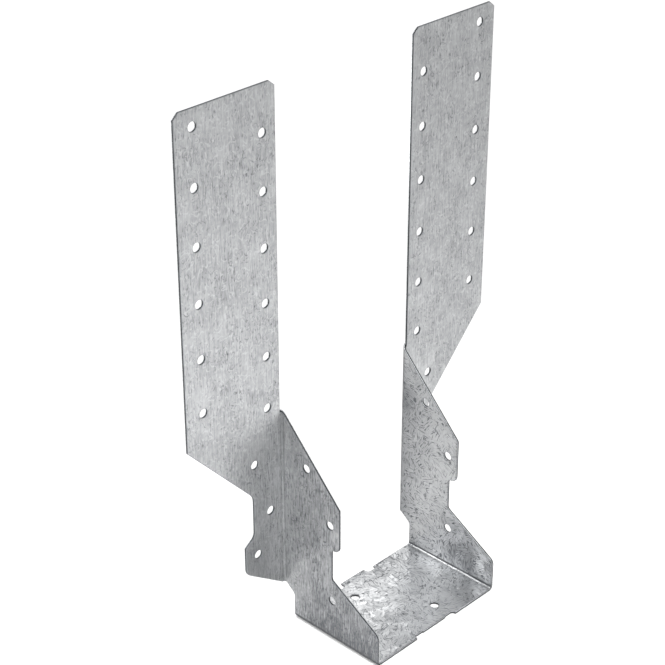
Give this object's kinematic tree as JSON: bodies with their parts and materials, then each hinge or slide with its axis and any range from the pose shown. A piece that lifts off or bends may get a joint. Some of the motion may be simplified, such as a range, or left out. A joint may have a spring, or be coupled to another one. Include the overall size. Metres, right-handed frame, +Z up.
{
  "type": "joist hanger",
  "caption": "Long-leg timber joist hanger folded from one galvanised sheet: seat, two side plates, header flanges and tall nailing straps with staggered holes.",
  "frame": {"origin": "centre of the hanger's bounding box, at the level of the seat's underside", "axes": "+X across the joist, to the right seen from the joist; +Y into the header, out of the flanges' back faces; +Z up, along the straps"},
  "size_m": [0.1858, 0.0584, 0.257],
  "materials": {
    "galvanised_steel": "hot-dip galvanised sheet, matt grey with fine rolling grain and faint spangle"
  },
  "bodies": {
    "root": {"hanger": "galvanised_steel"}
  },
  "joints": []
}
